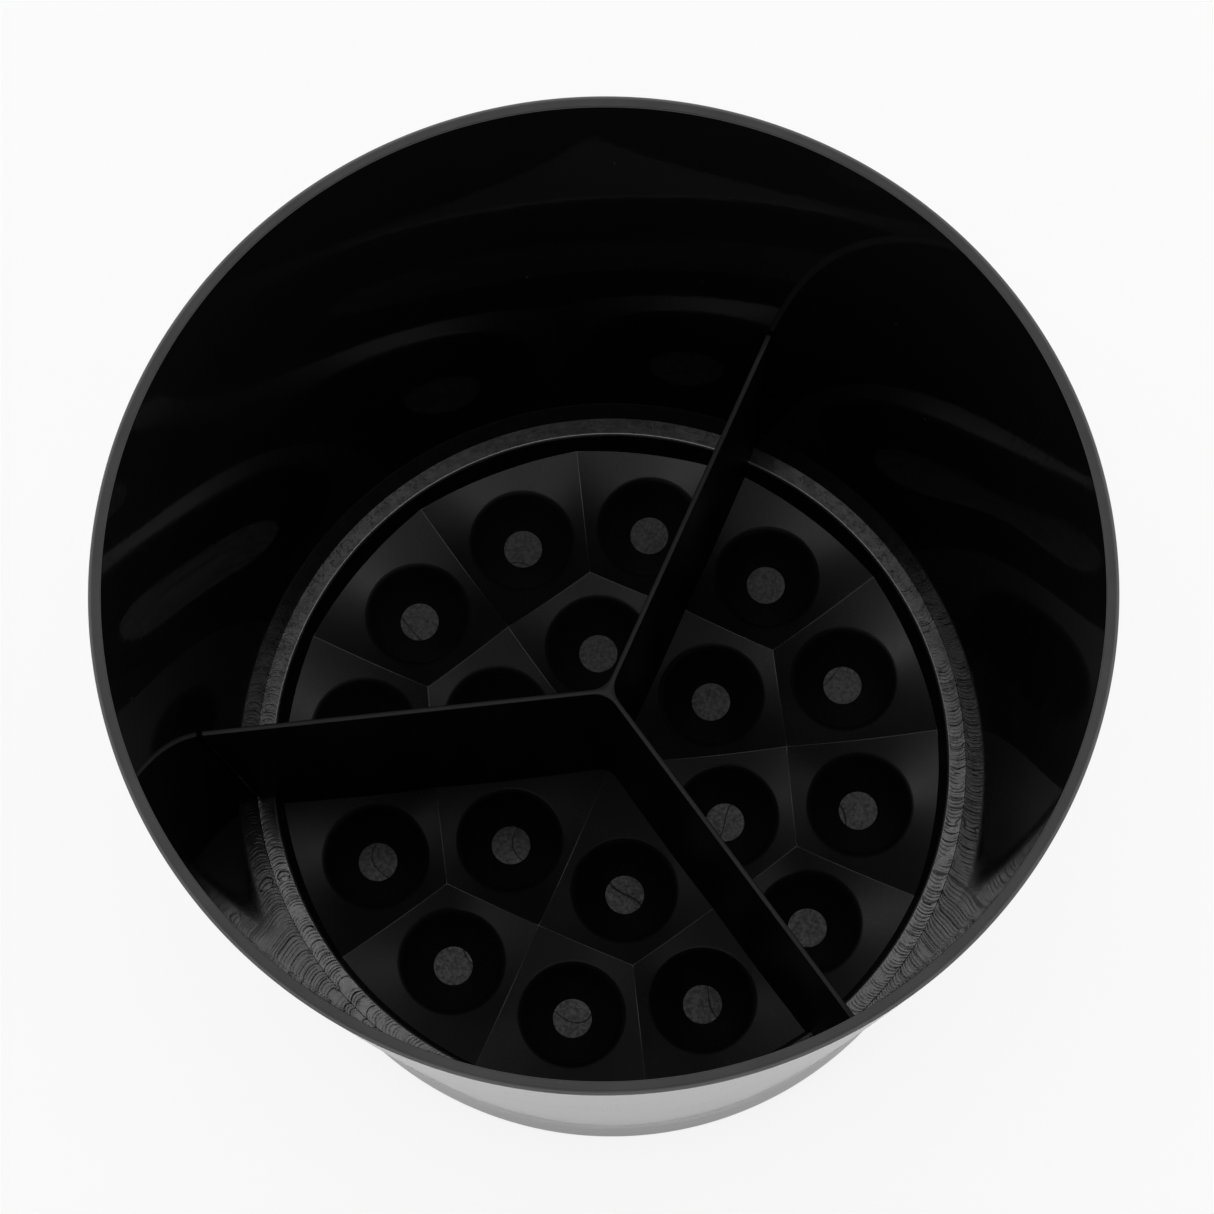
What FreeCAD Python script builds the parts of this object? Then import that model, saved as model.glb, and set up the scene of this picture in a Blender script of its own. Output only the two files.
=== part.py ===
"""Round tool storage caddy: a tapered barrel, a drop-in pocket tray, a three-wing divider and foot pads.

Millimetres, +Z up. The origin is on the desk, on the axis of the barrel.
"""
import FreeCAD
import Part
import Sketcher
import math
import os

# Driving dimensions. Heights are above the desk, radii are from the barrel's axis.
DIMENSIONS = {
    "rim_radius": 58.0,
    "caddy_height": 121.0,
    "rim_round": 0.55,
    "wall_thick": 1.6,
    "foot_radius": 49.7,
    "foot_top": 11.6,
    "foot_chamfer": 0.5,
    "skirt_base": 0.6,
    "skirt_thick": 1.8,
    "floor_top": 9.8,
    "floor_thick": 2.0,
    "rib_thick": 1.4,
    "rib_depth": 4.0,
    "rib_start": 6.0,
    "boss_radius": 5.2,
    "boss_ring": 39.0,
    "pad_count": 6,
    "pad_radius": 4.5,
    "pad_thick": 1.2,
    "pad_round": 0.4,
    "tray_gap": 0.1,
    "divider_gap": 0.3,
    "ring_top": 22.5,
    "ring_inner": 46.45,
    "ring_round": 0.3,
    "tray_skirt": 2.5,
    "web_under": 14.2,
    "outer_pockets": 12,
    "outer_ring": 35.0,
    "outer_turn": 15.0,
    "inner_pockets": 6,
    "inner_ring": 17.4,
    "inner_turn": 30.0,
    "disc_radius": 2.7,
    "disc_height": 12.0,
    "mouth_radius": 7.0,
    "mouth_height": 15.9,
    "cell_rise": 0.36,
    "cup_wall": 1.5,
    "wing_count": 3,
    "wing_thick": 0.7,
    "wing_draft": 0.25,
    "wing_turn": 60.0,
    "divider_top": 64.3,
    "hub_round": 3.2,
}

# Half the angle between neighbouring pockets of a ring, because a wing runs midway between two of them.
OUTER_HALF_STEP = math.pi / DIMENSIONS["outer_pockets"]
INNER_HALF_STEP = math.pi / DIMENSIONS["inner_pockets"]

# How far a cut runs past what it cuts.
OVERRUN = 1.0

doc = FreeCAD.newDocument("tool_caddy")
sheet = doc.addObject("Spreadsheet::Sheet", "Dims")
for row, (word, value) in enumerate(DIMENSIONS.items(), start=1):
    sheet.set(f"A{row}", word)
    sheet.set(f"B{row}", str(value))
    sheet.setAlias(f"B{row}", word)
doc.recompute()


class Size:
    """A length with its number and the sheet formula that it comes from."""

    def __init__(self, number, text):
        self.number = number
        self.text = text

    @staticmethod
    def of(value):
        """A plain number as a size."""
        return value if isinstance(value, Size) else Size(float(value), repr(float(value)))

    def __add__(self, other):
        other = Size.of(other)
        return Size(self.number + other.number, f"({self.text} + {other.text})")

    def __sub__(self, other):
        other = Size.of(other)
        return Size(self.number - other.number, f"({self.text} - {other.text})")

    def __mul__(self, other):
        other = Size.of(other)
        return Size(self.number * other.number, f"({self.text} * {other.text})")

    def __truediv__(self, other):
        other = Size.of(other)
        return Size(self.number / other.number, f"({self.text} / {other.text})")

    def root(self):
        """The square root, as a size."""
        return Size(math.sqrt(self.number), f"sqrt({self.text})")


def dim(word):
    """The named cell of the sheet."""
    return Size(float(DIMENSIONS[word]), f"Dims.{word}")


ZERO = Size.of(0)
TRAY_GAP = dim("tray_gap")
DIVIDER_GAP = dim("divider_gap")

# The wall's slope inward per millimetre of height.
TAPER = (dim("rim_radius") - dim("foot_radius")) / (dim("caddy_height") - dim("rim_round") - dim("foot_top"))


def inside(height):
    """Radius of the barrel's inner wall at a height."""
    drop = dim("caddy_height") - dim("rim_round") - height
    return dim("rim_radius") - dim("wall_thick") - drop * TAPER


def origin_part(body, role):
    """One of a body's own origin planes or axes."""
    return next(part for part in body.Origin.OriginFeatures if part.Role == role)


def place_point(sketch, curve, end, x, y):
    """Hold one end of a sketch curve at x, y, from the sheet."""
    for kind, axis, size in (("DistanceX", -2, x), ("DistanceY", -1, y)):
        if size is ZERO:
            sketch.addConstraint(Sketcher.Constraint("PointOnObject", curve, end, axis))
        else:
            index = sketch.addConstraint(Sketcher.Constraint(kind, -1, 1, curve, end, size.number))
            sketch.setExpression(f"Constraints[{index}]", size.text)


def new_sketch(body, name, role, height=None):
    """An empty sketch on one of the body's origin planes, lifted to a height if one is given."""
    sketch = body.newObject("Sketcher::SketchObject", name)
    sketch.AttachmentSupport = (origin_part(body, role), [""])
    sketch.MapMode = "FlatFace"
    if height is not None:
        sketch.setExpression("AttachmentOffset.Base.z", height.text)
    return sketch


def outline(sketch, corners):
    """Draw a closed outline. A corner is (x, y), or (x, y, (cx, cy), radius) where an arc leaves it."""
    starts = [FreeCAD.Vector(corner[0].number, corner[1].number, 0) for corner in corners]
    ends = []
    for index, corner in enumerate(corners):
        first, last = starts[index], starts[(index + 1) % len(starts)]
        if len(corner) == 2:
            sketch.addGeometry(Part.LineSegment(first, last))
            ends.append((1, 2))
            continue
        centre = FreeCAD.Vector(corner[2][0].number, corner[2][1].number, 0)
        angles = [math.atan2(point.y - centre.y, point.x - centre.x) for point in (first, last)]
        forward = (angles[1] - angles[0]) % (2 * math.pi) < math.pi
        low, high = angles if forward else reversed(angles)
        circle = Part.Circle(centre, FreeCAD.Vector(0, 0, 1), corner[3].number)
        sketch.addGeometry(Part.ArcOfCircle(circle, low, high))
        ends.append((1, 2) if forward else (2, 1))
    for index, corner in enumerate(corners):
        following = (index + 1) % len(corners)
        joint = Sketcher.Constraint("Coincident", index, ends[index][1], following, ends[following][0])
        sketch.addConstraint(joint)
        place_point(sketch, index, ends[index][0], corner[0], corner[1])
        if len(corner) > 2:
            radius = sketch.addConstraint(Sketcher.Constraint("Radius", index, corner[3].number))
            sketch.setExpression(f"Constraints[{radius}]", corner[3].text)


def turned(body, kind, name, corners, axis=None):
    """Revolve an outline about the barrel's axis, or about an upright line given as (radius, angle word)."""
    sketch = new_sketch(body, name + "_outline", "XZ_Plane")
    outline(sketch, corners)
    axis_name = "V_Axis"
    if axis is not None:
        radius, angle_word = axis
        top = FreeCAD.Vector(radius.number, DIMENSIONS["caddy_height"], 0)
        line = sketch.addGeometry(Part.LineSegment(FreeCAD.Vector(radius.number, 0, 0), top), True)
        place_point(sketch, line, 1, radius, ZERO)
        place_point(sketch, line, 2, radius, dim("caddy_height"))
        axis_name = "Axis0"
        upright = FreeCAD.Rotation(FreeCAD.Vector(0, 1, 0), DIMENSIONS[angle_word])
        sketch.AttachmentOffset = FreeCAD.Placement(FreeCAD.Vector(0, 0, 0), upright)
        sketch.setExpression("AttachmentOffset.Rotation.Angle", f"Dims.{angle_word}")
    feature = body.newObject(kind, name)
    feature.Profile = sketch
    feature.ReferenceAxis = (sketch, [axis_name])
    feature.Angle = 360
    body.Tip = feature
    return feature


def around(body, feature, count_word):
    """Repeat a feature evenly about the barrel's axis."""
    pattern = body.newObject("PartDesign::PolarPattern", feature.Name + "_ring")
    pattern.Originals = [feature]
    pattern.Axis = (origin_part(body, "Z_Axis"), [""])
    pattern.Angle = 360
    pattern.setExpression("Occurrences", f"Dims.{count_word}")
    body.Tip = pattern
    return pattern


def new_body(label):
    """An empty body that becomes the piece of that name."""
    body = doc.addObject("PartDesign::Body", label)
    body.Label = label
    return body


def make_barrel():
    """The tub: tapered wall with a rounded rim, a floor, and a foot band with ribs and pad bosses inside."""
    body = new_body("barrel")
    top = dim("caddy_height")
    under = dim("floor_top") - dim("floor_thick")
    skirt_inside = dim("foot_radius") - dim("skirt_thick")
    rim_edge = dim("rim_radius") - dim("rim_round")
    rim_shoulder = top - dim("rim_round")
    turned(body, "PartDesign::Revolution", "shell", [
        (ZERO, under),
        (skirt_inside, under),
        (skirt_inside, dim("skirt_base")),
        (dim("foot_radius") - dim("foot_chamfer"), dim("skirt_base")),
        (dim("foot_radius"), dim("skirt_base") + dim("foot_chamfer")),
        (dim("foot_radius"), dim("foot_top")),
        (dim("rim_radius"), rim_shoulder, (rim_edge, rim_shoulder), dim("rim_round")),
        (rim_edge, top),
        (inside(top), top),
        (inside(dim("floor_top")), dim("floor_top")),
        (ZERO, dim("floor_top")),
    ])

    ring = new_sketch(body, "boss_outline", "XY_Plane", dim("pad_thick"))
    centre = FreeCAD.Vector(DIMENSIONS["boss_ring"], 0, 0)
    ring.addGeometry(Part.Circle(centre, FreeCAD.Vector(0, 0, 1), DIMENSIONS["boss_radius"]))
    place_point(ring, 0, 3, dim("boss_ring"), ZERO)
    radius = ring.addConstraint(Sketcher.Constraint("Radius", 0, DIMENSIONS["boss_radius"]))
    ring.setExpression(f"Constraints[{radius}]", "Dims.boss_radius")
    boss = body.newObject("PartDesign::Pad", "boss")
    boss.Profile = ring
    boss.setExpression("Length", (under + dim("floor_thick") / 2 - dim("pad_thick")).text)
    around(body, boss, "pad_count")

    rib_low = under - dim("rib_depth")
    rib_high = under + dim("floor_thick") / 2
    rib_end = skirt_inside + dim("skirt_thick") / 2
    side = new_sketch(body, "rib_outline", "XZ_Plane")
    outline(side, [
        (dim("rib_start"), rib_low),
        (rib_end, rib_low),
        (rib_end, rib_high),
        (dim("rib_start"), rib_high),
    ])
    rib = body.newObject("PartDesign::Pad", "rib")
    rib.Profile = side
    rib.SideType = "Symmetric"
    rib.setExpression("Length", "Dims.rib_thick")
    around(body, rib, "pad_count")
    return body


def tray_seat():
    """Outer and inner radius of the tray's skirt where it stands on the barrel's floor."""
    outer = inside(dim("floor_top")) - TRAY_GAP
    return outer, outer - dim("tray_skirt")


def recess(height):
    """Radius of the tray's recess, inside its raised rim, at a height."""
    seat_inner = tray_seat()[1]
    widening = (dim("ring_inner") - seat_inner) / (dim("ring_top") - dim("mouth_height"))
    return seat_inner + (height - dim("mouth_height")) * widening


def make_pocket_tray():
    """The dish: funnel pockets in shallow cones that meet in ridges, with a raised rim and a skirt."""
    body = new_body("pocket_tray")
    disc, mouth = dim("disc_height"), dim("mouth_height")
    reach = dim("inner_ring") + OVERRUN
    cell_top = mouth + (reach - dim("mouth_radius")) * dim("cell_rise")
    cup_top = dim("web_under") + dim("cup_wall") / 2
    turned(body, "PartDesign::Revolution", "web", [
        (ZERO, dim("web_under")),
        (dim("ring_inner"), dim("web_under")),
        (dim("ring_inner"), cell_top),
        (ZERO, cell_top),
    ])
    rings = (("outer", dim("outer_ring")), ("inner", dim("inner_ring")))
    for name, ring in rings:
        cup = turned(body, "PartDesign::Revolution", name + "_cup", [
            (ring, disc - dim("cup_wall")),
            (ring + dim("disc_radius") + dim("cup_wall"), disc - dim("cup_wall")),
            (ring + dim("mouth_radius") + dim("cup_wall") / 2, cup_top),
            (ring, cup_top),
        ], (ring, name + "_turn"))
        around(body, cup, name + "_pockets")
    for name, ring in rings:
        pocket = turned(body, "PartDesign::Groove", name + "_pocket", [
            (ring, disc),
            (ring + dim("disc_radius"), disc),
            (ring + dim("mouth_radius"), mouth),
            (ring + reach, cell_top),
            (ring, cell_top),
        ], (ring, name + "_turn"))
        around(body, pocket, name + "_pockets")
    seat_outer, seat_inner = tray_seat()
    turned(body, "PartDesign::Revolution", "rim", [
        (seat_inner, dim("floor_top")),
        (seat_outer, dim("floor_top")),
        (inside(dim("ring_top")) - TRAY_GAP, dim("ring_top")),
        (dim("ring_inner"), dim("ring_top")),
        (seat_inner, mouth),
    ])
    doc.recompute()
    rim = body.Tip
    rounded = body.newObject("PartDesign::Fillet", "rim_rounding")
    rounded.Base = (rim, level_edges(rim.Shape, DIMENSIONS["ring_top"]))
    rounded.setExpression("Radius", "Dims.ring_round")
    body.Tip = rounded
    return body


def level_edges(shape, height):
    """Names of the edges that lie wholly at one height."""
    near = 1e-4
    return [
        f"Edge{index}" for index, edge in enumerate(shape.Edges, start=1)
        if abs(edge.BoundBox.ZMin - height) < near and abs(edge.BoundBox.ZMax - height) < near
    ]


def ridge(radius, ring, half_step):
    """Height, with clearance, of the tray's ridge under a wing at a radius, between the pockets of a ring."""
    along = radius - ring * math.cos(half_step)
    across = ring * math.sin(half_step)
    reach = (along * along + across * across).root()
    return dim("mouth_height") + (reach - dim("mouth_radius")) * dim("cell_rise") + DIVIDER_GAP


def make_divider():
    """The divider: three drafted wings from a filleted hub, trimmed to the tray and the wall."""
    body = new_body("divider")
    half = dim("wing_thick") / 2
    top = dim("divider_top")
    far = dim("rim_radius")
    hub = half + dim("hub_round")
    step = 2 * math.pi / DIMENSIONS["wing_count"]
    hub_reach = hub / math.tan(step / 2)
    hub_centre = hub / math.sin(step / 2)
    corners = []
    for wing in range(DIMENSIONS["wing_count"]):
        turn = wing * step
        along = (math.cos(turn), math.sin(turn))
        left = (-along[1], along[0])
        between = turn + step / 2
        centre = (hub_centre * math.cos(between), hub_centre * math.sin(between))
        corners.append((hub_reach * along[0] - half * left[0], hub_reach * along[1] - half * left[1]))
        corners.append((far * along[0] - half * left[0], far * along[1] - half * left[1]))
        corners.append((far * along[0] + half * left[0], far * along[1] + half * left[1]))
        corners.append((hub_reach * along[0] + half * left[0], hub_reach * along[1] + half * left[1],
                        centre, dim("hub_round")))
    plan = new_sketch(body, "wing_plan", "XY_Plane", top)
    outline(plan, corners)
    wings = body.newObject("PartDesign::Pad", "wings")
    wings.Profile = plan
    wings.Reversed = True
    wings.setExpression("Length", (top - dim("mouth_height")).text)
    wings.setExpression("TaperAngle", "Dims.wing_draft")

    ring_top, mouth = dim("ring_top"), dim("mouth_height")
    outer, inner = dim("outer_ring"), dim("inner_ring")
    outer_dip = outer * math.cos(OUTER_HALF_STEP)
    inner_dip = inner * math.cos(INNER_HALF_STEP)
    crossing = (outer * outer - inner * inner) / ((outer_dip - inner_dip) * 2)
    wing_foot = ridge(tray_seat()[1], outer, OUTER_HALF_STEP)
    above, below = top + OVERRUN, mouth - OVERRUN
    turned(body, "PartDesign::Groove", "trim", [
        (ZERO, below),
        (far + OVERRUN, below),
        (far + OVERRUN, above),
        (inside(above) - DIVIDER_GAP, above),
        (inside(ring_top) - DIVIDER_GAP, ring_top),
        (dim("ring_inner") - DIVIDER_GAP, ring_top),
        (recess(wing_foot) - DIVIDER_GAP, wing_foot),
        (outer_dip, ridge(outer_dip, outer, OUTER_HALF_STEP)),
        (crossing, ridge(crossing, outer, OUTER_HALF_STEP)),
        (inner_dip, ridge(inner_dip, inner, INNER_HALF_STEP)),
        (ZERO, ridge(ZERO, inner, INNER_HALF_STEP)),
    ])
    turn = FreeCAD.Rotation(FreeCAD.Vector(0, 0, 1), DIMENSIONS["wing_turn"])
    body.Placement = FreeCAD.Placement(FreeCAD.Vector(0, 0, 0), turn)
    body.setExpression("Placement.Rotation.Angle", "Dims.wing_turn")
    return body


def make_foot_pads():
    """The round pads, each under a boss of the barrel, with a rounded lower edge."""
    pads = []
    for index in range(DIMENSIONS["pad_count"]):
        turn = 2 * math.pi * index / DIMENSIONS["pad_count"]
        disc = doc.addObject("Part::Cylinder", f"pad_disc_{index + 1}")
        disc.setExpression("Radius", "Dims.pad_radius")
        disc.setExpression("Height", "Dims.pad_thick")
        doc.recompute()
        pad = doc.addObject("Part::Fillet", f"foot_pad_{index + 1}")
        pad.Label = f"foot_pad_{index + 1}"
        pad.Base = disc
        lower = [int(name.removeprefix("Edge")) for name in level_edges(disc.Shape, 0.0)]
        pad.Edges = [(edge, DIMENSIONS["pad_round"], DIMENSIONS["pad_round"]) for edge in lower]
        pad.setExpression("Placement.Base.x", (dim("boss_ring") * math.cos(turn)).text)
        pad.setExpression("Placement.Base.y", (dim("boss_ring") * math.sin(turn)).text)
        pads.append(pad)
    return pads


pieces = [make_barrel(), make_pocket_tray(), make_divider(), *make_foot_pads()]
doc.recompute()

for item in doc.Objects:
    if {"Invalid", "Error"} & set(item.State):
        raise RuntimeError(f"{item.Label} failed: {item.State}")
for piece in pieces:
    if piece.Shape.isNull() or not piece.Shape.isValid() or len(piece.Shape.Solids) != 1:
        raise RuntimeError(f"{piece.Label} isn't one sound solid")

os.makedirs("parts", exist_ok=True)
for piece in pieces:
    piece.Shape.exportStep(f"parts/{piece.Label}.step")
    box = piece.Shape.optimalBoundingBox()
    print(f"{piece.Label}: {piece.Shape.Volume:.0f} mm3, {box.XLength:.2f} by {box.YLength:.2f} across,"
          f" z {box.ZMin:.2f} to {box.ZMax:.2f}")
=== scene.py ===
"""Dresses the round tool caddy and sets it in a plain studio.

The pieces are turned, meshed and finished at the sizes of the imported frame. Lengths are millimetres until a
mesh is made, and metres after that.
"""

import logging
import math
from dataclasses import dataclass
from enum import Enum, IntEnum
from typing import Any, Iterator, Sequence

import bmesh
import bpy
from mathutils import Matrix, Vector


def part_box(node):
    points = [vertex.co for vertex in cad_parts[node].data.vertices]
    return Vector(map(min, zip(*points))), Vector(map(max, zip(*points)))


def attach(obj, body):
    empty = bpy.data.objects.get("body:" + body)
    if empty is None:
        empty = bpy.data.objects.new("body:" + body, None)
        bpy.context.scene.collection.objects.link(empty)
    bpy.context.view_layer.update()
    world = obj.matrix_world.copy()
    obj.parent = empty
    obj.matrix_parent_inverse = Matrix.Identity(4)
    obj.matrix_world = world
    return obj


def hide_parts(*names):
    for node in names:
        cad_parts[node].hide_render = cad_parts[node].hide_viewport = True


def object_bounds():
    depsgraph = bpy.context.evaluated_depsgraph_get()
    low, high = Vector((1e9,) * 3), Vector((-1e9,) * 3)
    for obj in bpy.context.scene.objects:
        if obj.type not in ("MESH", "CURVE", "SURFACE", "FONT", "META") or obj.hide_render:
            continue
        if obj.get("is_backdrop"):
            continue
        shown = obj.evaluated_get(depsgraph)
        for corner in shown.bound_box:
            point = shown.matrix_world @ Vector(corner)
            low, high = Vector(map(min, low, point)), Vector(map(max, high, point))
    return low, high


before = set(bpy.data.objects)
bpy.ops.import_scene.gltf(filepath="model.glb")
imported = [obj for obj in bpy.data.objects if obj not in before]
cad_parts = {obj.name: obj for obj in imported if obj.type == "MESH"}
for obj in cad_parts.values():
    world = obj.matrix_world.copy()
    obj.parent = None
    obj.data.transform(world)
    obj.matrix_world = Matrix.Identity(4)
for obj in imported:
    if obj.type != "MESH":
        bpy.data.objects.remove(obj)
cad_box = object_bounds()

LOG = logging.getLogger("tool_caddy")
MM = 0.001

AXIS = Vector((0.0, 0.0))

Pair = tuple[float, float]
Verts = list[bmesh.types.BMVert]


class Body(Enum):
    """The bodies that the joints move."""

    BARREL = "barrel"
    TRAY = "tray"
    DIVIDER = "divider"


class Slot(Enum):
    """The record's material slots."""

    BARREL = "barrel_gloss"
    TRAY = "tray_satin"
    DIVIDER = "divider_satin"
    PAD = "pad_rubber"


class BarrelFinish(IntEnum):
    """The finishes of the barrel's faces."""

    GLOSS = 0
    RIM = 1


class TrayFinish(IntEnum):
    """The finishes of the tray's faces."""

    SATIN = 0
    DISC = 1
    RING = 2
    # The ring's inner rounding: a painted highlight line, from a much lighter tone and a high index.
    PAINTED_HIGHLIGHT_EDGE = 3


class Wire:
    """An output of a shader graph. Arithmetic on it adds Math nodes."""

    def __init__(self, graph: "Graph", source: bpy.types.Node, output: str | int = 0) -> None:
        """Keep an output.

        Args:
            graph: The graph that it belongs to.
            source: The node.
            output: Which of the node's outputs is meant.
        """
        self.graph = graph
        self.source = source
        self.output = output

    def socket(self) -> bpy.types.NodeSocket:
        """The output itself."""
        return self.source.outputs[self.output]

    def math(self, operation: str, *operands: "Wire | float") -> "Wire":
        """A Math node on the operands, in their order."""
        return self.graph.node("ShaderNodeMath", {"operation": operation}, dict(enumerate(operands)))

    def __add__(self, other: "Wire | float") -> "Wire":
        """Sum."""
        return self.math("ADD", self, other)

    def __sub__(self, other: "Wire | float") -> "Wire":
        """Difference."""
        return self.math("SUBTRACT", self, other)

    def __rsub__(self, other: float) -> "Wire":
        """Difference from a number."""
        return self.math("SUBTRACT", other, self)

    def __mul__(self, other: "Wire | float") -> "Wire":
        """Product."""
        return self.math("MULTIPLY", self, other)

    def __truediv__(self, other: "Wire | float") -> "Wire":
        """Quotient."""
        return self.math("DIVIDE", self, other)

    def __abs__(self) -> "Wire":
        """Size without sign."""
        return self.math("ABSOLUTE", self)

    __radd__ = __add__
    __rmul__ = __mul__

    def step(self, low: float, high: float) -> "Wire":
        """A smooth rise from 0 at low to 1 at high."""
        return self.graph.node("ShaderNodeMapRange", {"interpolation_type": "SMOOTHSTEP"},
                               {"Value": self, "From Min": low, "From Max": high})


class Graph:
    """A node tree that is filled by expressions."""

    def __init__(self, tree: bpy.types.NodeTree) -> None:
        """Take over a tree and empty it."""
        self.tree = tree
        tree.nodes.clear()

    def node(self, kind: str, settings: dict[str, Any] | None = None,
             inputs: dict[str | int, Any] | None = None, output: str | int = 0) -> Wire:
        """Add one node.

        Args:
            kind: The node's type.
            settings: Its own settings, which are set first.
            inputs: Values or wires for its sockets, by name or number.
            output: The output that is wanted.

        Returns:
            That output.
        """
        made = self.tree.nodes.new(kind)
        for word, value in (settings or {}).items():
            setattr(made, word, value)
        for key, value in (inputs or {}).items():
            if isinstance(value, Wire):
                self.tree.links.new(value.socket(), made.inputs[key])
            else:
                made.inputs[key].default_value = value
        return Wire(self, made, output)

    def place(self) -> Wire:
        """The point on the piece, in millimetres."""
        metres = self.node("ShaderNodeTexCoord", output="Object")
        return self.node("ShaderNodeVectorMath", {"operation": "SCALE"}, {0: metres, "Scale": 1 / MM})

    def split(self, vector: Wire) -> tuple[Wire, Wire, Wire]:
        """The three parts of a vector."""
        made = self.node("ShaderNodeSeparateXYZ", inputs={0: vector}).source
        return Wire(self, made, 0), Wire(self, made, 1), Wire(self, made, 2)

    def join(self, *parts: Wire | float) -> Wire:
        """A vector from its parts."""
        return self.node("ShaderNodeCombineXYZ", inputs=dict(enumerate(parts)))

    def noise(self, vector: Wire, scale: float, detail: float = 2.0) -> Wire:
        """Soft noise from 0 to 1, with so many bumps to a millimetre."""
        return self.node("ShaderNodeTexNoise", inputs={"Vector": vector, "Scale": scale, "Detail": detail})

    def specks(self, vector: Wire, spacing: float, radius: float) -> Wire:
        """Scattered round dots of a radius, in millimetres, 1 inside and 0 outside."""
        return 1.0 - self.to_seed(vector, spacing).step(radius / 2, radius)

    def to_seed(self, vector: Wire, spacing: float) -> Wire:
        """Distance in millimetres to the nearest of scattered points."""
        inputs = {"Vector": vector, "Scale": 1 / spacing}
        return self.node("ShaderNodeTexVoronoi", inputs=inputs, output="Distance") * spacing

    def grey(self, level: Wire) -> Wire:
        """A neutral colour of a changing level."""
        return self.node("ShaderNodeCombineColor", inputs={0: level, 1: level, 2: level})

    def bump(self, height: Wire, depth: float) -> Wire:
        """A normal that follows a height of so many millimetres."""
        return self.node("ShaderNodeBump", inputs={"Height": height, "Distance": depth * MM})

    def polar(self, vector: Wire, radius: float) -> tuple[Wire, Wire, Wire]:
        """Turn a point into lengths round, out from and along the caddy's axis.

        Args:
            vector: The point.
            radius: The radius at which the way round is measured.

        Returns:
            The way round, the distance from the axis, and the height.
        """
        x, y, z = self.split(vector)
        round_way = x.math("ARCTAN2", y, x) * radius
        return round_way, (x * x + y * y).math("SQRT", x * x + y * y), z


def new_material(name: str) -> tuple[bpy.types.Material, Graph]:
    """Start a node material.

    Args:
        name: The material's name.

    Returns:
        The material and its empty graph.
    """
    material = bpy.data.materials.new(name)
    material.use_nodes = True
    return material, Graph(material.node_tree)


def plastic(graph: Graph, colour: Wire, roughness: Wire | float, normal: Wire, **fixed: float) -> Wire:
    """A Principled shader.

    Args:
        graph: The material's graph.
        colour: Base colour.
        roughness: Roughness.
        normal: Surface normal.
        fixed: Values that are the same all over, by socket name with underscores for spaces.

    Returns:
        The shader's output.
    """
    inputs: dict[str | int, Any] = {word.replace("_", " "): value for word, value in fixed.items()}
    inputs |= {"Base Color": colour, "Roughness": roughness, "Normal": normal}
    return graph.node("ShaderNodeBsdfPrincipled", inputs=inputs)


def surface(graph: Graph, shader: Wire) -> None:
    """End a graph in a shader."""
    graph.node("ShaderNodeOutputMaterial", inputs={"Surface": shader})


@dataclass(frozen=True)
class PolishedPlastic:
    """Black plastic from a polished mould: hairlines along the draw, faint smudges and a little dust."""

    name: str
    tone: float = 0.0025
    roughness: float = 0.033
    smudge: float = 0.02
    smudge_scale: float = 0.05
    hairline: float = 0.12
    hairline_scale: float = 1.6
    hairline_stretch: float = 0.035
    hairline_width: float = 0.008
    dust_tone: float = 0.3
    dust_roughness: float = 0.6
    dust_spacing: float = 6.0
    dust_radius: float = 0.1
    peel_scale: float = 0.7
    peel_depth: float = 0.002
    girth: float = 53.0
    index: float = 1.49

    def material(self) -> bpy.types.Material:
        """Build the finish.

        Returns:
            The material.
        """
        material, graph = new_material(self.name)
        place = graph.place()
        way, _, height = graph.polar(place, self.girth)
        smudged = graph.noise(place, self.smudge_scale, 3.0).step(0.48, 0.72)
        along = graph.join(way * self.hairline_scale, height * self.hairline_stretch, 0.0)
        strands = abs(graph.noise(along, 1.0, 1.0) - 0.5)
        hairlines = (1.0 - strands.step(0.0, self.hairline_width)) * graph.noise(place, 0.09).step(0.45, 0.7)
        dust = graph.specks(place, self.dust_spacing, self.dust_radius)
        peel = graph.noise(place, self.peel_scale, 1.0)
        tone = self.tone * (0.8 + 0.4 * graph.noise(place, 0.12)) + self.dust_tone * dust
        roughness = (self.roughness + self.smudge * smudged + self.hairline * hairlines
                     + self.dust_roughness * dust)
        skin = graph.bump(peel - 0.6 * hairlines + 2.0 * dust, self.peel_depth)
        surface(graph, plastic(graph, graph.grey(tone), roughness, skin, IOR=self.index))
        return material


@dataclass(frozen=True)
class SatinPlastic:
    """Black plastic from a spark-eroded mould: a fine even grain, and a painted highlight that lightens the
    ridge crests in patches.
    """

    name: str
    roughness: float
    tone: float = 0.016
    grain_scale: float = 4.0
    grain_depth: float = 0.004
    cloud_scale: float = 0.14
    # Tone added on the ridge crests as a painted highlight.
    ridge_highlight_tone: float = 0.003
    dust_tone: float = 0.1
    dust_roughness: float = 0.3
    dust_spacing: float = 5.0
    dust_radius: float = 0.09
    index: float = 1.49

    def material(self) -> bpy.types.Material:
        """Build the finish.

        Returns:
            The material.
        """
        material, graph = new_material(self.name)
        place = graph.place()
        grain = graph.noise(place, self.grain_scale, 3.0)
        cloud = graph.noise(place, self.cloud_scale, 3.0)
        crest = graph.node("ShaderNodeAttribute", {"attribute_name": "crest"}, output="Fac")
        # Painted highlight: a lighter tone on the ridge crests, in patches, where the rounded crests catch
        # light.
        painted_ridge_highlight = crest * graph.noise(place, 0.8).step(0.3, 0.7)
        dust = graph.specks(place, self.dust_spacing, self.dust_radius)
        tone = self.tone * (0.6 + 0.8 * cloud) + self.ridge_highlight_tone * painted_ridge_highlight + self.dust_tone * dust
        uneven = 0.10 * (cloud - 0.5) + 0.08 * (grain - 0.5)
        roughness = self.roughness + uneven + self.dust_roughness * dust
        skin = graph.bump(grain, self.grain_depth)
        surface(graph, plastic(graph, graph.grey(tone), roughness, skin, IOR=self.index))
        return material


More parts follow.
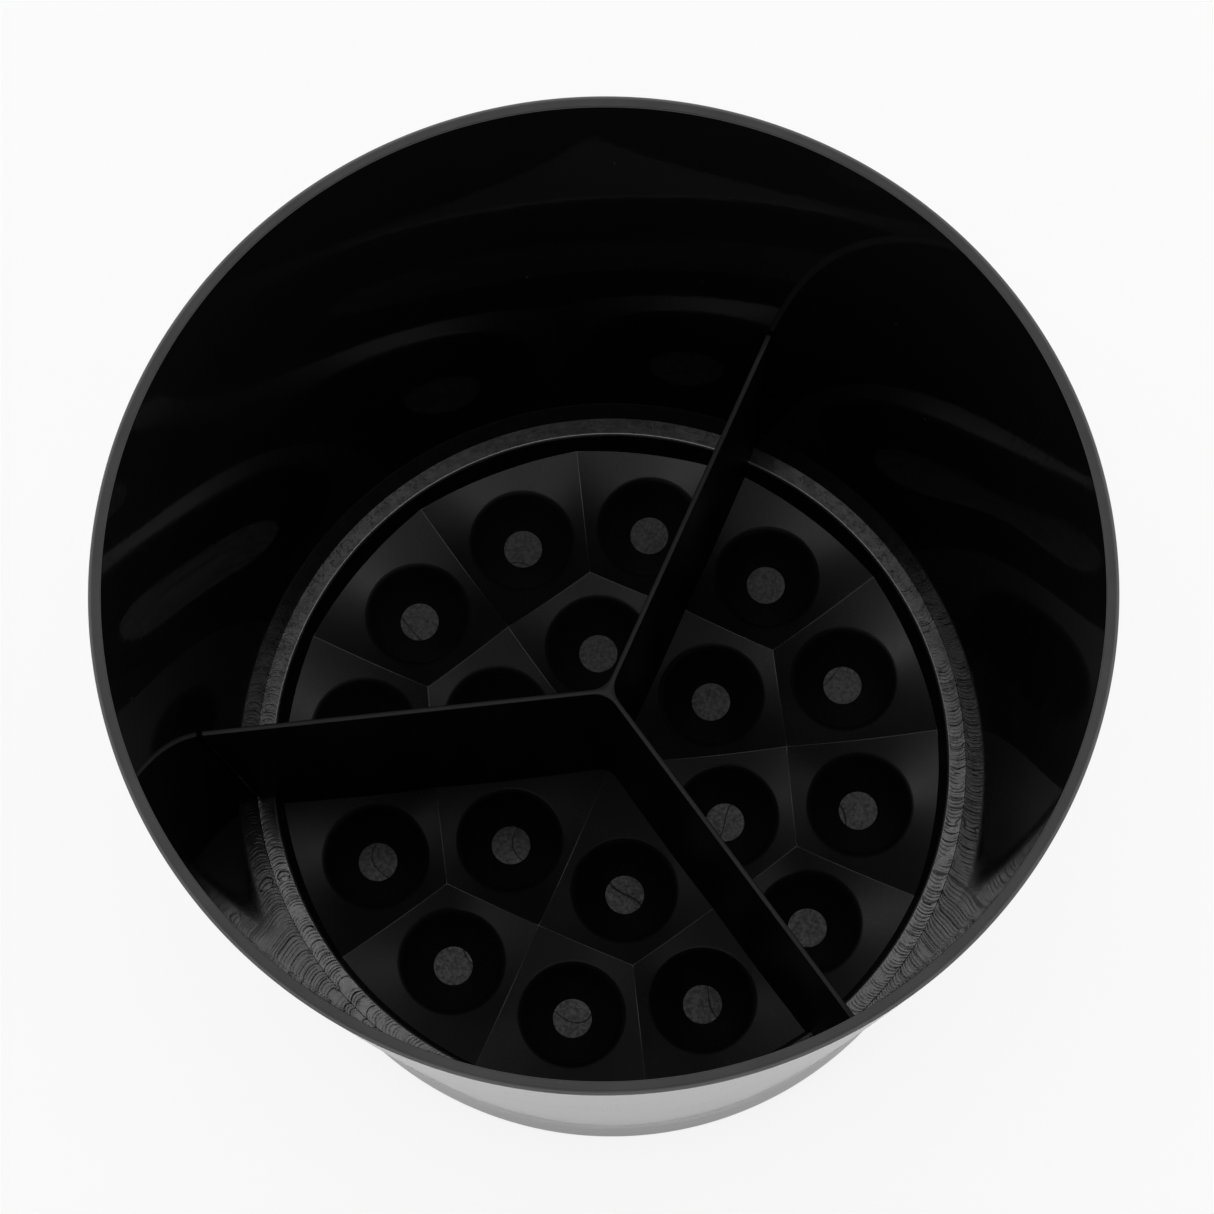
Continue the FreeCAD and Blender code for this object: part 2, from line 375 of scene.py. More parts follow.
@dataclass(frozen=True)
class ScuffedDisc:
    """Black plastic off a mould pin's flat end: matte and mottled, with a scratch here and there."""

    name: str
    tone: float = 0.1
    roughness: float = 0.36
    mottle_scale: float = 2.2
    scratch_spacing: float = 11.0
    relief_depth: float = 0.015
    index: float = 1.55

    def material(self) -> bpy.types.Material:
        """Build the finish.

        Returns:
            The material.
        """
        material, graph = new_material(self.name)
        place = graph.place()
        mottle = graph.noise(place, self.mottle_scale, 3.0)
        wander = graph.noise(place, 1.0 / self.scratch_spacing, 0.0)
        scratch = 1.0 - abs(wander - 0.5).step(0.0015, 0.006)
        tone = self.tone * (2.4 * mottle).step(0.5, 1.9) * (1.0 - 0.5 * scratch)
        roughness = self.roughness + 0.35 * (0.5 - mottle) + 0.2 * scratch
        relief = graph.bump(mottle - 0.5 * scratch, self.relief_depth)
        surface(graph, plastic(graph, graph.grey(tone), roughness, relief, IOR=self.index))
        return material


@dataclass(frozen=True)
class CutRing:
    """Black plastic off a mould face that a small cutter ran round: bowed grooves that fade toward the back,
    a shinier, lighter copy of the finish on the near side as a painted highlight, and a duller, darker copy
    toward the back as painted shade.
    """

    name: str
    tone: float = 0.1
    # Tone of the duller copy, used for real marks and as painted shade toward the back.
    worn_and_shaded_tone: float = 0.06
    roughness: float = 0.16
    worn_and_shaded_roughness: float = 0.7
    index: float = 1.85
    worn_and_shaded_index: float = 1.45
    worn_and_shaded_sheen: float = 0.2
    girth: float = 47.7
    cutter: float = 1.4
    groove_width: float = 0.06
    coarse_pitch: float = 1.7
    fine_pitch: float = 0.5
    loop_spacing: float = 7.0
    loop_radius: float = 0.95
    cut_scale: float = 0.16
    patch_scale: float = 0.7
    grit_scale: float = 2.5
    relief_depth: float = 0.012

    def grooves(self, graph: Graph, way: Wire, wander: Wire, pitch: float) -> Wire:
        """Cut grooves across a way.

        Args:
            graph: The material's graph.
            way: The length along the way.
            wander: Noise that makes the pitch uneven.
            pitch: The mean distance between grooves.

        Returns:
            A value of 1 at the bottom of a groove and 0 between grooves.
        """
        turns = (way + 4.0 * pitch * wander) / pitch
        narrow = self.groove_width / pitch
        return 1.0 - abs(turns.math("FRACT", turns) - 0.5).step(0.3 * narrow, 2.0 * narrow)

    def material(self) -> bpy.types.Material:
        """Build the finish.

        Returns:
            The material.
        """
        material, graph = new_material(self.name)
        place = graph.place()
        way, out, _ = graph.polar(place, self.girth)
        _, back, _ = graph.split(place)
        # Painted light: 1 on the near side and 0 at the back. It moves the mix to the shinier, lighter copy
        # on the near side and to the duller, darker copy at the back, and fades the marks toward the back.
        near_side_lit = 1.0 - (back / self.girth).step(-0.2, 0.65)
        across = out - self.girth
        square = self.cutter ** 2 - across * across
        chord = square.math("MAXIMUM", square, 0.05)
        bowed = way + chord.math("SQRT", chord)
        wander = graph.noise(graph.join(way * 0.25, 0.0, 0.0), 1.0, 2.0)
        coarse = self.grooves(graph, bowed, wander, self.coarse_pitch)
        scored = graph.noise(place, 0.5, 1.0).step(0.35, 0.55)
        fine = self.grooves(graph, bowed, wander, self.fine_pitch) * scored
        loops = 1.0 - abs(graph.to_seed(place, self.loop_spacing) - self.loop_radius).step(0.04, 0.13)
        patch = graph.noise(place, self.patch_scale, 3.0).step(0.3, 0.7)
        cut = graph.noise(place, self.cut_scale, 1.0).step(0.36, 0.5)
        grit = graph.noise(place, self.grit_scale, 2.0)
        # The marks fade toward the back, so that they show mostly where the near side catches light: painted
        # light.
        marks = (coarse * cut + 0.6 * fine + 0.7 * loops) * (0.1 + 0.9 * near_side_lit)
        # Mix factor: real marks and grit, and painted shade that grows toward the back.
        dull_and_shaded = 0.4 - 0.4 * near_side_lit + 0.2 * (1.0 - patch) + 0.45 * marks + 0.3 * grit.step(0.45, 0.7)
        relief = graph.bump(0.3 * grit - marks, self.relief_depth)
        tone = graph.grey(self.tone * (0.8 + 0.4 * patch))
        # The lit, shinier copy of the finish; the second copy below is darker and duller, for real marks and
        # for painted shade.
        shiny_and_lit = plastic(graph, tone, self.roughness + 0.1 * (0.5 - grit), relief, IOR=self.index)
        worn_and_shaded_tone = graph.grey(self.worn_and_shaded_tone * (0.6 + 0.8 * grit) * (1.0 - 0.8 * marks))
        worn_and_shaded = plastic(graph, worn_and_shaded_tone, self.worn_and_shaded_roughness, relief, IOR=self.worn_and_shaded_index,
                       Specular_IOR_Level=self.worn_and_shaded_sheen)
        surface(graph, graph.node("ShaderNodeMixShader", inputs={0: dull_and_shaded, 1: shiny_and_lit, 2: worn_and_shaded}))
        return material


@dataclass(frozen=True)
class PadRubber:
    """Black rubber with a dull, slightly dusty grain."""

    name: str
    tone: float = 0.022
    roughness: float = 0.72
    grain_scale: float = 3.0
    grain_depth: float = 0.03
    cloud_scale: float = 0.35
    index: float = 1.45

    def material(self) -> bpy.types.Material:
        """Build the finish.

        Returns:
            The material.
        """
        material, graph = new_material(self.name)
        place = graph.place()
        grain = graph.noise(place, self.grain_scale, 4.0)
        cloud = graph.noise(place, self.cloud_scale, 3.0)
        tone = self.tone * (0.7 + 0.5 * cloud) + 0.01 * grain.step(0.6, 0.8)
        roughness = self.roughness + 0.2 * (cloud - 0.5)
        skin = graph.bump(grain, self.grain_depth)
        surface(graph, plastic(graph, graph.grey(tone), roughness, skin, IOR=self.index))
        return material


@dataclass(frozen=True)
class Corner:
    """A corner of an outline: distance from the axis, height, and the radius that rounds it."""

    out: float
    up: float
    rounding: float = 0.0

    def spot(self) -> Vector:
        """The corner as a plane vector."""
        return Vector((self.out, self.up))


def rounded(corners: Sequence[Corner], steps: int = 5, hold: float = 0.05) -> list[Pair]:
    """Round the corners of an open outline.

    Args:
        corners: The corners in order. The first and the last stay sharp.
        steps: How many straight steps make an arc.
        hold: Length of the flat stretch kept beside an arc, which keeps the shading of the flats true.

    Returns:
        The points of the outline.
    """
    points = [corners[0].spot()]
    for before, corner, after in zip(corners, corners[1:], corners[2:]):
        here = corner.spot()
        if corner.rounding == 0.0:
            points.append(here)
            continue
        back = (before.spot() - here).normalized()
        ahead = (after.spot() - here).normalized()
        half = math.acos(back.dot(ahead)) / 2
        reach = corner.rounding / math.tan(half)
        centre = here + (back + ahead).normalized() * (corner.rounding / math.sin(half))
        first, last = here + back * reach - centre, here + ahead * reach - centre
        start = math.atan2(first.y, first.x)
        sweep = math.remainder(math.atan2(last.y, last.x) - start, math.tau)
        points.append(here + back * (reach + hold))
        for step in range(steps + 1):
            angle = start + sweep * step / steps
            points.append(centre + Vector((math.cos(angle), math.sin(angle))) * corner.rounding)
        points.append(here + ahead * (reach + hold))
    points.append(corners[-1].spot())
    return [(point.x, point.y) for point in points]


def even_angles(count: int) -> list[float]:
    """Evenly spaced angles once round."""
    return [math.tau * index / count for index in range(count)]


def spoke(angle: float, radius: float = 1.0) -> Vector:
    """The plane point at an angle and a radius."""
    return Vector((math.cos(angle), math.sin(angle))) * radius


class Draft:
    """A mesh in the making. Points are given in millimetres."""

    MELD = 0.001
    CREASE = math.radians(32)

    def __init__(self) -> None:
        """Start empty."""
        self.mesh = bmesh.new()
        self.crest = self.mesh.verts.layers.float.new("crest")

    def point(self, spot: Vector, height: float, crest: float = 0.0) -> bmesh.types.BMVert:
        """Add a point.

        Args:
            spot: Its place in plan.
            height: Its height.
            crest: How far it stands on a crest, from 0 to 1, which sets the painted ridge highlight there.

        Returns:
            The point.
        """
        vert = self.mesh.verts.new((spot.x * MM, spot.y * MM, height * MM))
        vert[self.crest] = crest
        return vert

    def face(self, corners: Sequence[bmesh.types.BMVert], finish: int = 0) -> None:
        """Add a face, unless its corners fall together.

        Args:
            corners: Its points in order.
            finish: The number of its finish.
        """
        distinct = list(dict.fromkeys(corners))
        if len(distinct) > 2:
            self.mesh.faces.new(distinct).material_index = finish

    def band(self, low: Verts, high: Verts, finish: int = 0, closed: bool = True) -> None:
        """Join two rows of points with faces.

        Args:
            low: The first row.
            high: The second row, of the same length.
            finish: The number of the faces' finish.
            closed: Whether the rows are closed rings.
        """
        count = len(low)
        for index in range(count if closed else count - 1):
            following = (index + 1) % count
            self.face((low[index], low[following], high[following], high[index]), finish)

    def bands(self, rings: Sequence[Verts], finish: int = 0) -> None:
        """Join each ring of points to the next."""
        for low, high in zip(rings, rings[1:]):
            self.band(low, high, finish)

    def ring(self, axis: Vector, aims: Sequence[Vector], out: float, up: float) -> Verts:
        """Add a ring of points about an upright axis.

        Args:
            axis: The axis in plan.
            aims: The directions in which the points lie.
            out: Their distance from the axis.
            up: Their height.

        Returns:
            The ring, which is one point over and over where it lies on the axis.
        """
        if out < self.MELD:
            return [self.point(axis, up)] * len(aims)
        return [self.point(axis + aim * out, up) for aim in aims]

    def turn(self, outline: Sequence[Pair], count: int, axis: Vector = AXIS) -> None:
        """Turn an outline about an upright axis.

        Args:
            outline: Distances from the axis and heights.
            count: How many rows of points stand round the axis.
            axis: The axis in plan.
        """
        aims = [spoke(angle) for angle in even_angles(count)]
        self.bands([self.ring(axis, aims, out, up) for out, up in outline])

    def clean(self) -> None:
        """Merge points that fall together and turn all faces outward."""
        bmesh.ops.remove_doubles(self.mesh, verts=self.mesh.verts[:], dist=self.MELD * MM)
        bmesh.ops.recalc_face_normals(self.mesh, faces=self.mesh.faces[:])

    def fuse(self, other: "Draft") -> None:
        """Join another closed mesh on, and leave no faces inside.

        Args:
            other: The mesh to join on, which is used up.
        """
        parts = []
        for draft in (self, other):
            draft.clean()
            mesh = bpy.data.meshes.new("fused")
            draft.mesh.to_mesh(mesh)
            parts.append(bpy.data.objects.new("fused", mesh))
            bpy.context.scene.collection.objects.link(parts[-1])
        union = parts[0].modifiers.new("union", "BOOLEAN")
        union.operation = "UNION"
        union.solver = "EXACT"
        union.use_self = True
        union.object = parts[1]
        joined = parts[0].evaluated_get(bpy.context.evaluated_depsgraph_get())
        self.mesh.clear()
        self.mesh.from_mesh(joined.to_mesh())
        joined.to_mesh_clear()
        for part in parts:
            bpy.data.meshes.remove(part.data)
        other.mesh.free()

    def paint(self, above: float, beyond: float, finish: int) -> None:
        """Give another finish to some of the faces.

        Args:
            above: The height above which they lie.
            beyond: The distance from the axis beyond which they lie.
            finish: The number of the finish.
        """
        for face in self.mesh.faces:
            middle = face.calc_center_median()
            if middle.z > above * MM and middle.to_2d().length > beyond * MM:
                face.material_index = finish

    def piece(self, name: str, body: Body, slot: Slot, node: str,
              finishes: Sequence[bpy.types.Material]) -> None:
        """Make the object that stands for a node of the frame.

        Args:
            name: The piece's name.
            body: The body that it moves with.
            slot: The record's material slot. It is not used.
            node: The node that it replaces.
            finishes: Its materials, in the order of the faces' finish numbers.
        """
        self.clean()
        mesh = bpy.data.meshes.new(name)
        self.mesh.to_mesh(mesh)
        self.mesh.free()
        mesh.shade_smooth()
        mesh.set_sharp_from_angle(angle=self.CREASE)
        for finish in finishes:
            mesh.materials.append(finish)
        made = bpy.data.objects.new(name, mesh)
        bpy.context.scene.collection.objects.link(made)
        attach(made, body.value)
        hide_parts(node)
        LOG.info("%s: %d faces, on %s", name, len(mesh.polygons), body.value)


@dataclass(frozen=True)
class Wall:
    """The barrel's tapered wall, from the foot band up to the rim."""

    rim_radius: float
    rim_shoulder: float
    foot_radius: float = 49.7
    foot_top: float = 11.6
    thickness: float = 1.6

    def outside(self, height: float) -> float:
        """Outer radius at a height."""
        slope = (self.rim_radius - self.foot_radius) / (self.rim_shoulder - self.foot_top)
        return self.rim_radius - (self.rim_shoulder - height) * slope

    def inside(self, height: float) -> float:
        """Inner radius at a height."""
        return self.outside(height) - self.thickness


@dataclass
class Barrel:
    """The tapered tub, with its rim, floor and foot band, and the ribs and pad bosses under the floor."""

    wall: Wall
    height: float
    skirt_base: float
    rim_round: float = 0.55
    lip_round: float = 0.18
    foot_crease: float = 0.35
    foot_chamfer: float = 0.5
    skirt_thick: float = 1.8
    floor_top: float = 9.8
    floor_thick: float = 2.0
    gate_radius: float = 1.7
    gate_height: float = 0.4
    rib_count: int = 6
    rib_thick: float = 1.4
    rib_depth: float = 4.0
    rib_start: float = 6.0
    boss_radius: float = 5.2
    boss_ring: float = 39.0
    boss_base: float = 1.2
    edge: float = 0.2
    arc_steps: int = 6
    boss_segments: int = 48
    segments: int = 384

    @classmethod
    def from_frame(cls) -> "Barrel":
        """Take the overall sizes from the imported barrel.

        Returns:
            The barrel.
        """
        low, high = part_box("barrel")
        wall = Wall(rim_radius=high.x / MM, rim_shoulder=high.z / MM - cls.rim_round)
        return cls(wall, height=high.z / MM, skirt_base=low.z / MM)

    def outline(self) -> list[Corner]:
        """Draw the turned outline.

        Returns:
            Its corners, from the middle of the underside round to the middle of the floor.
        """
        under = self.floor_top - self.floor_thick
        foot = self.wall.foot_radius
        skirt = foot - self.skirt_thick
        return [
            Corner(0.0, under - self.gate_height),
            Corner(self.gate_radius, under - self.gate_height, self.edge),
            Corner(self.gate_radius, under),
            Corner(skirt, under, 3 * self.edge),
            Corner(skirt, self.skirt_base, self.edge),
            Corner(foot - self.foot_chamfer, self.skirt_base, self.edge),
            Corner(foot, self.skirt_base + self.foot_chamfer, self.edge),
            Corner(foot, self.wall.foot_top, self.foot_crease),
            Corner(self.wall.rim_radius, self.height, self.rim_round),
            Corner(self.wall.inside(self.height), self.height, self.lip_round),
            Corner(self.wall.inside(self.floor_top), self.floor_top, 3 * self.edge),
            Corner(0.0, self.floor_top),
        ]

    def rib(self, draft: Draft, angle: float) -> None:
        """Add one rib under the floor, with its lower edges broken.

        Args:
            draft: The mesh.
            angle: Where the rib stands.
        """
        high = self.floor_top - self.floor_thick / 2
        low = self.floor_top - self.floor_thick - self.rib_depth
        half = self.rib_thick / 2
        section = [(-half, high), (-half, low + self.edge), (self.edge - half, low),
                   (half - self.edge, low), (half, low + self.edge), (half, high)]
        along, aside = spoke(angle), spoke(angle + math.pi / 2)
        ends = []
        for out in (self.rib_start, self.wall.foot_radius - self.skirt_thick / 2):
            ends.append([draft.point(along * out + aside * across, up) for across, up in section])
            draft.face(ends[-1])
        draft.band(*ends)

    def boss(self, draft: Draft, angle: float) -> None:
        """Add one boss that a foot pad is stuck to.

        Args:
            draft: The mesh.
            angle: Where the boss stands.
        """
        high = self.floor_top - self.floor_thick / 2
        outline = rounded([Corner(0.0, self.boss_base), Corner(self.boss_radius, self.boss_base, self.edge),
                           Corner(self.boss_radius, high), Corner(0.0, high)])
        draft.turn(outline, self.boss_segments, spoke(angle, self.boss_ring))

    def build(self, *finishes: bpy.types.Material) -> None:
        """Make the piece.

        Args:
            finishes: Its materials, in the order of BarrelFinish.
        """
        draft = Draft()
        draft.turn(rounded(self.outline(), steps=self.arc_steps), self.segments)
        braces = Draft()
        for angle in even_angles(self.rib_count):
            self.rib(braces, angle)
            self.boss(braces, angle)
        draft.fuse(braces)
        lip = self.wall.inside(self.height) + self.lip_round
        draft.paint(self.wall.rim_shoulder, lip, BarrelFinish.RIM)
        draft.piece("barrel_shell", Body.BARREL, Slot.BARREL, "barrel", finishes)


@dataclass(frozen=True)
class PocketRing:
    """A ring of pockets: its radius, their number, and the angle of the first in degrees."""

    radius: float
    count: int
    turn: float

    def angles(self) -> list[float]:
        """The angle of each pocket."""
        return [math.radians(self.turn) + angle for angle in even_angles(self.count)]


@dataclass(frozen=True)
class Ray:
    """One line out from a pocket's axis to the border of its cell."""

    aim: Vector
    border: float
    crest: float
    on_rim: bool
    on_ridge: bool


@dataclass
class PocketTray:
    """The drop-in dish: funnel pockets, each in a shallow cell, inside a raised rim on a skirt."""

    wall: Wall
    base: float
    ring_top: float
    gap: float = 0.1
    skirt: float = 2.5
    ring_inner: float = 46.45
    ring_round: float = 0.35
    brim_gap: float = 0.01
    brim_round: float = 0.02
    web_under: float = 14.2
    disc_radius: float = 2.7
    disc_height: float = 12.0
    mouth_radius: float = 7.0
    mouth_height: float = 16.25
    mouth_round: float = 1.8
    mouth_apron: float = 1.5
    cell_rise: float = 0.21
    cell_dish: float = 0.0012
    ridge_round: float = 0.05
    # Share of the painted ridge highlight on the row just inside a crest.
    ridge_shoulder_highlight: float = 0.3
    slope_steps: int = 4
    cup_wall: float = 1.5
    edge: float = 0.2
    outer: PocketRing = PocketRing(35.0, 12, 15.0)
    inner: PocketRing = PocketRing(17.4, 6, 30.0)
    ray_step: float = math.radians(3.6)
    solve_rounds: int = 8

    @classmethod
    def from_frame(cls, wall: Wall) -> "PocketTray":
        """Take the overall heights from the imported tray."""
        low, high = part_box("pocket_tray")
        return cls(wall, base=low.z / MM, ring_top=high.z / MM)

    def seat(self) -> Pair:
        """Outer and inner radius of the skirt where it stands on the floor."""
        outer = self.wall.inside(self.base) - self.gap
        return outer, outer - self.skirt

    def recess(self, height: float) -> float:
        """Measure the recess inside the raised rim.

        Args:
            height: The height.

        Returns:
            The radius there.
        """
        inner = self.seat()[1]
        share = (height - self.mouth_height) / (self.ring_top - self.mouth_height)
        return inner + (self.ring_inner - inner) * share

    def level(self, away: float) -> float:
        """Height of a cell's slope at a distance from its pocket's axis, outside the pocket's mouth."""
        past = away - self.mouth_radius
        return self.mouth_height + past * (self.cell_rise + past * self.cell_dish)

    def junction(self, turn: float) -> float:
        """Find where inner and outer cells meet, on a line midway between outer pockets.

        Args:
            turn: The angle from that line to the nearest inner pocket.

        Returns:
            The radius on the line.
        """
        half_step = math.pi / self.outer.count
        apart = self.outer.radius * math.cos(half_step) - self.inner.radius * math.cos(turn)
        return (self.outer.radius ** 2 - self.inner.radius ** 2) / (2 * apart)

    def to_recess(self, centre: Vector, aim: Vector) -> float:
        """Find where a cell's slope runs into the recess.

        Args:
            centre: The pocket's axis.
            aim: The direction in plan.

        Returns:
            The distance from the axis.
        """
        along = centre.dot(aim)
        away = 0.0
        for _ in range(self.solve_rounds):
            radius = self.recess(self.level(away))
            away = math.sqrt(along ** 2 - centre.length_squared + radius ** 2) - along
        return away

    def cells(self) -> Iterator[tuple[Vector, list[Vector], int | None]]:
        """Go through the pockets.

        Yields:
            A pocket's axis, the corners of its cell in order, and which edge lies on the recess, if any.
        """
        inner_half = math.pi / self.inner.count
        outer_half = math.pi / self.outer.count
        four_way, three_way = self.junction(inner_half), self.junction(0.0)
        for index, angle in enumerate(self.outer.angles()):
            centre = spoke(angle, self.outer.radius)
            starts, ends = (four_way, three_way) if index % 2 == 0 else (three_way, four_way)
            low, high = angle - outer_half, angle + outer_half
            rim = [centre + aim * self.to_recess(centre, aim) for aim in self.rim_aims(centre, low, high)]
            yield centre, [spoke(low, starts), rim[0], rim[1], spoke(high, ends)], 1
        for angle in self.inner.angles():
            low, high = angle - inner_half, angle + inner_half
            outside = [spoke(low, four_way), spoke(angle, three_way), spoke(high, four_way)]
            yield spoke(angle, self.inner.radius), [AXIS, *outside], None

    def rim_aims(self, centre: Vector, *lines: float) -> list[Vector]:
        """Aim from a pocket's axis at where lines from the caddy's axis meet the recess.

        Args:
            centre: The pocket's axis.
            lines: The angles of the lines.

        Returns:
            A direction for each line.
        """
        aims = []
        for line in lines:
            radius = self.ring_inner
            for _ in range(self.solve_rounds):
                radius = self.recess(self.level((spoke(line, radius) - centre).length))
            aims.append((spoke(line, radius) - centre).normalized())
        return aims

    def rays(self, centre: Vector, corners: list[Vector], rim_edge: int | None) -> list[Ray]:
        """Draw lines from a pocket's axis to the border of its cell, evenly turned along each edge.

        Args:
            centre: The pocket's axis.
            corners: The corners of its cell in order.
            rim_edge: Which edge lies on the recess, if any.

        Returns:
            The lines, once round.
        """
        rays = []
        past_rim = None if rim_edge is None else rim_edge + 1
        for index, start in enumerate(corners):
            first, last = start - centre, corners[(index + 1) % len(corners)] - centre
            begin = math.atan2(first.y, first.x)
            sweep = (math.atan2(last.y, last.x) - begin) % math.tau
            count = max(2, round(sweep / self.ray_step))
            edge = (last - first).normalized()
            normal = Vector((edge.y, -edge.x))
            depth = first.dot(normal)
            for step in range(count):
                aim = spoke(begin + sweep * step / count)
                if index == rim_edge:
                    border = self.to_recess(centre, aim)
                    rays.append(Ray(aim, border, border - self.ridge_round, True, step == 0))
                else:
                    border = depth / aim.dot(normal)
                    crest = border * (1 - self.ridge_round / depth)
                    rays.append(Ray(aim, border, crest, index == past_rim and step == 0, True))
        return rays

    def cell(self, draft: Draft, centre: Vector, rays: list[Ray]) -> Verts:
        """Add a pocket and its cell, seen from above.

        Args:
            draft: The mesh.
            centre: The pocket's axis.
            rays: The lines out to the cell's border.

        Returns:
            The points on the border.
        """
        apron = self.mouth_radius + self.mouth_apron
        funnel = rounded([
            Corner(self.disc_radius, self.disc_height),
            Corner(self.mouth_radius, self.mouth_height, self.mouth_round),
            Corner(apron, self.level(apron)),
        ])[:-1]
        aims = [ray.aim for ray in rays]
        rings = [draft.ring(centre, aims, out, up) for out, up in [(0.0, self.disc_height), *funnel]]
        brink = funnel[-1][0]
        for step in range(1, self.slope_steps + 1):
            row = []
            for ray in rays:
                far = 2 * ray.crest - ray.border
                away = brink + (far - brink) * step / self.slope_steps
                row.append(draft.point(centre + ray.aim * away, self.level(away)))
            rings.append(row)
        # The crest values set the satin finish's painted ridge highlight: full on the ridges, part on the row
        # inside them.
        rings.append([draft.point(centre + ray.aim * ray.crest, self.level(ray.crest),
                                  self.ridge_shoulder_highlight * ray.on_ridge) for ray in rays])
        drop = self.ridge_round * self.cell_rise / 2
        rings.append([draft.point(centre + ray.aim * ray.border, self.level(ray.border) - drop * ray.on_ridge,
                                  float(ray.on_ridge)) for ray in rays])
        draft.band(rings[0], rings[1], TrayFinish.DISC)
        draft.bands(rings[1:], TrayFinish.SATIN)
        return rings[-1]

    def cup(self, draft: Draft, centre: Vector, rays: list[Ray]) -> None:
        """Add the underside of a pocket and its cell.

        Args:
            draft: The mesh.
            centre: The pocket's axis.
            rays: The lines out to the cell's border.
        """
        low = self.disc_height - self.cup_wall
        foot = self.disc_radius + self.cup_wall
        flare = (self.mouth_radius - self.disc_radius - self.cup_wall / 2) / (
            self.web_under + self.cup_wall / 2 - low)
        outline = rounded([
            Corner(self.mouth_radius + self.mouth_apron, self.web_under),
            Corner(foot + (self.web_under - low) * flare, self.web_under, self.edge),
            Corner(foot, low, self.edge),
            Corner(0.0, low),
        ])[1:]
        seat = self.seat()[1]
        border = []
        for ray in rays:
            spot = centre + ray.aim * ray.border
            border.append(draft.point(spot.normalized() * seat if ray.on_rim else spot, self.web_under))
        aims = [ray.aim for ray in rays]
        draft.bands([border, *(draft.ring(centre, aims, out, up) for out, up in outline)])

    def rim(self, draft: Draft, border: Verts) -> None:
        """Add the recess wall, the raised rim and the skirt.

        Args:
            draft: The mesh.
            border: The points where the cells meet the recess, once round.
        """
        outer, inner = self.seat()
        top_outer = self.wall.inside(self.ring_top) - self.brim_gap
        outline = rounded([
            Corner(self.recess(self.mouth_height), self.mouth_height),
            Corner(self.ring_inner, self.ring_top, self.ring_round),
            Corner(top_outer, self.ring_top, self.brim_round),
            Corner(outer, self.base, self.edge),
            Corner(inner, self.base, self.edge),
            Corner(inner, self.web_under),
        ])[1:]
        aims = [spoke(math.atan2(vert.co.y, vert.co.x)) for vert in border]
        below = border
        for out, up in outline:
            ring = draft.ring(AXIS, aims, out, up)
            draft.band(below, ring, self.rim_finish(below[0].co.z / MM, out, up))
            below = ring

    def rim_finish(self, start: float, out: float, up: float) -> int:
        """Choose the finish of a band of the rim.

        Args:
            start: The height where the band starts.
            out: The radius where it ends.
            up: The height where it ends.

        Returns:
            The number of the finish.
        """
        low = min(start, up)
        if low > self.ring_top - Draft.MELD:
            return TrayFinish.RING
        on_edge = low > self.ring_top - self.ring_round - Draft.MELD
        inside = out < self.ring_inner + self.skirt / 2
        return TrayFinish.PAINTED_HIGHLIGHT_EDGE if on_edge and inside else TrayFinish.SATIN

    def build(self, *finishes: bpy.types.Material) -> None:
        """Make the piece.

        Args:
            finishes: Its materials, in the order of TrayFinish.
        """
        draft = Draft()
        border: Verts = []
        for centre, corners, rim_edge in self.cells():
            rays = self.rays(centre, corners, rim_edge)
            ring = self.cell(draft, centre, rays)
            self.cup(draft, centre, rays)
            if rim_edge is not None:
                border += [vert for vert, ray in zip(ring, rays) if ray.on_rim][:-1]
        self.rim(draft, border)
        draft.piece("pocket_dish", Body.TRAY, Slot.TRAY, "pocket_tray", finishes)


